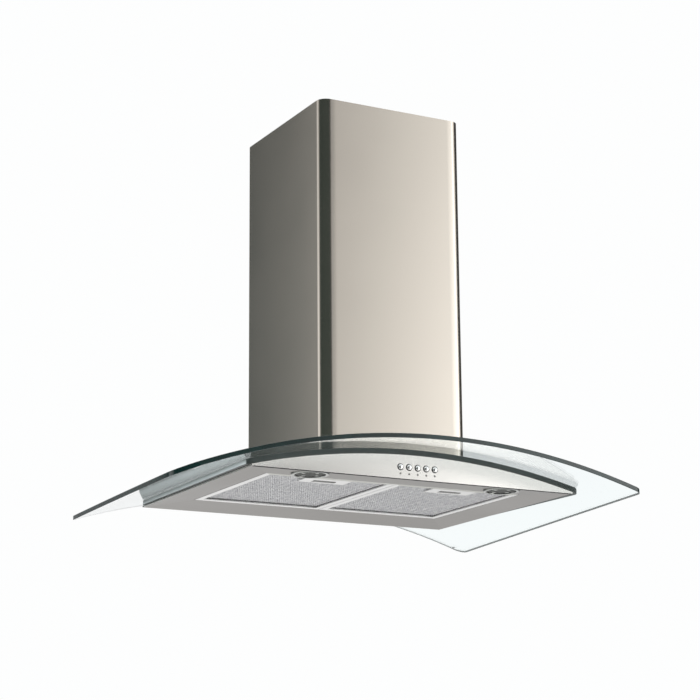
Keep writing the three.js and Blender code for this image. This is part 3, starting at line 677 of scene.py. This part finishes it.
def band(name, body, outer, width, bottom, top):
    """A black rectangular band of a given width inside an outline (x0, x1, y0, y1)."""
    x0, x1, y0, y1 = outer
    inner = (x0 + width, x1 - width, y0 + width, y1 - width)
    bm = bmesh.new()
    rings = []
    for (x0, x1, y0, y1), z in ((outer, bottom), (outer, top), (inner, top), (inner, bottom)):
        rings.append([bm.verts.new((x, y, z)) for x, y in ((x0, y0), (x1, y0), (x1, y1), (x0, y1))])
    for a, b in zip(rings, rings[1:] + rings[:1]):
        for i in range(4):
            j = (i + 1) % 4
            bm.faces.new((a[i], a[j], b[j], b[i]))
    place(finish_mesh(bm, name, [BLACK_PLASTIC]), body)


def strip(name, lo, hi, mat):
    """A straight strip from lo to hi with rounded edges."""
    bm = bmesh.new()
    bmesh.ops.create_cube(bm, size=1)
    for v in bm.verts:
        v.co = [high if c > 0 else low for c, low, high in zip(v.co, lo, hi)]
    bmesh.ops.bevel(bm, geom=bm.edges[:], offset=0.2 * MM, segments=2, profile=0.5, affect="EDGES")
    place(finish_mesh(bm, name, [mat]), "hood")


# lines the opening that the filters close
FILTER_OPENING = (-261.9 * MM, 261.9 * MM, -162.9 * MM, 148.9 * MM)
SEAL_WIDTH = 0.9 * MM
band("filter_seal", "hood", FILTER_OPENING, SEAL_WIDTH, BASE + 5.2 * MM, BASE + 13 * MM)
# under the joint between the pan and the front panel
SEAL_HALF_X = BODY_HALF_X - 2 * MM
strip(
    "panel_seal", (-SEAL_HALF_X, -BODY_HALF_Y + 0.1 * MM, BASE - 1.5 * MM),
    (SEAL_HALF_X, -BODY_HALF_Y + 1.4 * MM, BASE - 0.05 * MM), BLACK_PLASTIC)
# close the ends between the pan's rim and the glass bed
END_INNER_X = BODY_HALF_X - 1.5 * MM
END_OUTER_X = END_INNER_X + 1.2 * MM
END_HALF_Y = BODY_HALF_Y - 4 * MM
END_BOTTOM = BASE + 1.4 * MM
END_TOP = arch_z(ARCH_RADIUS, BODY_HALF_X) - 0.2 * MM
# the end strips take the pale steel with the painted light
for side, x0, x1 in (("left", -END_OUTER_X, -END_INNER_X), ("right", END_INNER_X, END_OUTER_X)):
    strip(
        f"end_strip_{side}", (x0, -END_HALF_Y, END_BOTTOM), (x1, END_HALF_Y, END_TOP),
        RIM_STEEL_PAINTED_LIGHT)


# ---------- filters ----------

SKIN_INSET = 0.2 * MM
SKIN_DROP = 1 * MM
SKIN_THICK = 0.25 * MM
CELL_X = 4.5 * MM
CELL_Y = 9 * MM
HOLE_SHARE = 0.62  # of a cell, along each axis
WAVE_PITCH = 5.2 * MM
WAVE_HEIGHT = 0.7 * MM
MICRON = 1e6  # in a metre


def expanded_sheet(name, node, mat):
    """Corrugated expanded metal under the filter pad: rhombic holes with shared strands."""
    lo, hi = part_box(node)
    z0 = lo.z - SKIN_DROP
    span_x = hi.x - lo.x - 2 * SKIN_INSET
    span_y = hi.y - lo.y - 2 * SKIN_INSET
    cols = int(span_x / CELL_X)
    rows = int(span_y / CELL_Y)
    step_x = span_x / cols
    step_y = span_y / rows
    bm = bmesh.new()
    cache = {}

    def vert(x, y, side):
        key = (round(x * MICRON), round(y * MICRON), side)
        if key not in cache:
            z = z0 + WAVE_HEIGHT * math.sin(2 * math.pi * (x - lo.x) / WAVE_PITCH) + side * SKIN_THICK
            cache[key] = bm.verts.new((x, y, z))
        return cache[key]

    for i in range(2 * cols - 1):
        for j in range(rows if i % 2 == 0 else rows - 1):
            cx = lo.x + SKIN_INSET + step_x * (i + 1) / 2
            cy = lo.y + SKIN_INSET + step_y * (j + (0.5 if i % 2 == 0 else 1.0))
            ring = [(step_x / 2, 0), (0, step_y / 2), (-step_x / 2, 0), (0, -step_y / 2)]
            hole = [(x * HOLE_SHARE, y * HOLE_SHARE) for x, y in ring]
            for side in (0, 1):
                outer = [vert(cx + x, cy + y, side) for x, y in ring]
                inner = [vert(cx + x, cy + y, side) for x, y in hole]
                for k in range(4):
                    m = (k + 1) % 4
                    bm.faces.new((outer[k], outer[m], inner[m], inner[k]))
            for k in range(4):
                ends = (hole[k], hole[(k + 1) % 4])
                a, b = [vert(cx + x, cy + y, 0) for x, y in ends]
                c, d = [vert(cx + x, cy + y, 1) for x, y in ends]
                bm.faces.new((a, b, d, c))
    rim = [e for e in bm.edges if len(e.link_faces) == 1]
    seen = {}
    for edge in rim:
        key = tuple(sorted((round(v.co.x * MICRON), round(v.co.y * MICRON)) for v in edge.verts))
        seen.setdefault(key, []).append(edge)
    for pair in seen.values():
        if len(pair) == 2:
            a, b = pair[0].verts
            c, d = pair[1].verts
            if (a.co.xy - c.co.xy).length > WELD:
                c, d = d, c
            bm.faces.new((a, b, d, c))
    return finish_mesh(bm, name, [mat], STRAND_SHARP)


# painted shadow: a thin black band round each filter pad, in place of the shadow between the pad and its rim
SHADOW_BAND_GAP = 0.25 * MM
SHADOW_BAND_WIDTH = 0.35 * MM
for side in SIDES:
    skin = expanded_sheet(f"filter_skin_{side}", f"filter_mesh_{side}", MESH_ALUMINIUM)
    place(skin, f"filter_{side}")
    pad_lo, pad_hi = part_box(f"filter_mesh_{side}")
    around = (pad_lo.x - SHADOW_BAND_GAP, pad_hi.x + SHADOW_BAND_GAP, pad_lo.y - SHADOW_BAND_GAP, pad_hi.y + SHADOW_BAND_GAP)
    shadow_band_z = (pad_lo.z - 2 * MM, pad_lo.z - 0.1 * MM)
    band(f"filter_shadow_band_{side}", f"filter_{side}", around, SHADOW_BAND_WIDTH, *shadow_band_z)


# ---------- lamps ----------

CLIP_COUNT = 4
CLIP_FIRST = 20  # degrees from +X
CLIP_AT = 17 * MM
CLIP_PROFILE = in_mm([(0, 0.1), (2.6, 0.15), (3.6, 0.4), (3.8, 0.7), (0, 0.7)])
BULB_PROFILE = in_mm([
    (0, 8.0), (1.6, 8.2), (3.2, 8.9), (4.2, 10.4), (4.4, 12), (4.4, 18.8), (3.8, 19.6), (0, 19.6),
])


def lamp(side):
    """A spot lamp: bezel, clips, lens, faceted reflector and bulb."""
    lo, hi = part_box(f"lamp_bezel_{side}")
    at = Vector(((lo.x + hi.x) / 2, (lo.y + hi.y) / 2, BASE))
    rim_r = (hi.x - lo.x) / 2 / MM
    lens_r = (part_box(f"lamp_lens_{side}")[1].x - at.x) / MM
    bore_r = lens_r + 0.3
    bezel = lathe(f"lamp_ring_{side}", in_mm([
        (bore_r, 0.6), (lens_r + 0.5, 0.0), (lens_r + 1.4, -0.4), (rim_r - 2.4, -0.5), (rim_r - 0.9, -0.1),
        (rim_r - 0.1, 0.9), (rim_r, 1.8), (rim_r, 6.2), (rim_r - 0.2, 6.4), (bore_r, 6.4), (bore_r, 0.6),
    ]), BEZEL_CHROME, at, 96)
    place(bezel, "hood", [f"lamp_bezel_{side}"])
    for i in range(CLIP_COUNT):
        turn = math.radians(CLIP_FIRST + 360 / CLIP_COUNT * i)
        off = Vector((math.cos(turn), math.sin(turn), 0)) * CLIP_AT
        clip = lathe(f"lamp_clip_{side}_{i + 1}", CLIP_PROFILE, BEZEL_CHROME, at + off, 32)
        place(clip, "hood")
    lens = lathe(f"lamp_glass_{side}", in_mm([
        (0, 0.8), (lens_r - 0.5, 0.8), (lens_r, 1.2), (lens_r, 2.8), (0, 2.8),
    ]), LENS_GLASS, at, 72)
    place(lens, "hood", [f"lamp_lens_{side}"])
    bowl = lathe(f"lamp_bowl_{side}", in_mm([
        (lens_r - 0.2, 3.2), (lens_r - 0.2, 6.4), (21, 13), (13, 17.5), (6, 17.6), (6, 16.6), (9.5, 16.4),
        (13.5, 15.2), (17.5, 13.0), (21, 10.4), (24, 7.4), (lens_r - 1.2, 3.2), (lens_r - 0.2, 3.2),
    ]), MIRROR_BOWL, at, 20, sharp_deg=FACETED)
    place(bowl, "hood", [f"lamp_reflector_{side}"])
    bulb = lathe(f"lamp_capsule_{side}", BULB_PROFILE, BULB_GLASS, at, 40)
    place(bulb, "hood", [f"lamp_bulb_{side}"])


for side in SIDES:
    lamp(side)


# ---------- buttons ----------

BUTTON_COUNT = 5
MARK_HEIGHT = 9 * MM  # above the underside plane
MARK_PROFILE = in_mm([(0, 0), (2.0, 0), (2.0, 0.15), (0, 0.15)])


def button(number):
    """A push button with a dark ring round it, a painted shadow of the gap round the cap, and a plain mark
    under it.
    """
    node = f"button_{number}"
    lo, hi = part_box(node)
    at = Vector(((lo.x + hi.x) / 2, lo.y, (lo.z + hi.z) / 2))
    r = (hi.x - lo.x) / 2 / MM
    depth = (hi.y - lo.y) / MM
    cap = lathe(f"{node}_cap", in_mm([
        (0, 0.0), (r - 1.7, 0.0), (r - 1.1, 0.15), (r - 0.5, 0.6), (r - 0.1, 1.3), (r, 2.0), (r, depth),
        (0, depth),
    ]), BUTTON_CHROME, at, 64, "Y")
    place(cap, node, [node])
    # painted shadow: a black ring round the cap, for the shadow in the gap round it
    ring_at = Vector((at.x, PANEL_LO.y - 0.05 * MM, at.z))
    ring = lathe(f"button_shadow_ring_{number}", in_mm([
        (r + 0.4, -0.1), (r + 0.6, -0.35), (r + 1.3, -0.4), (r + 1.5, 0.0), (r + 0.4, 0.0), (r + 0.4, -0.1),
    ]), BLACK_PLASTIC, ring_at, 64, "Y")
    place(ring, "hood")
    mark_at = Vector((at.x, PANEL_LO.y - 0.17 * MM, BASE + MARK_HEIGHT))
    mark = lathe(f"button_mark_{number}", MARK_PROFILE, MARK_INK, mark_at, 24, "Y")
    place(mark, "hood")


for number in range(1, BUTTON_COUNT + 1):
    button(number)
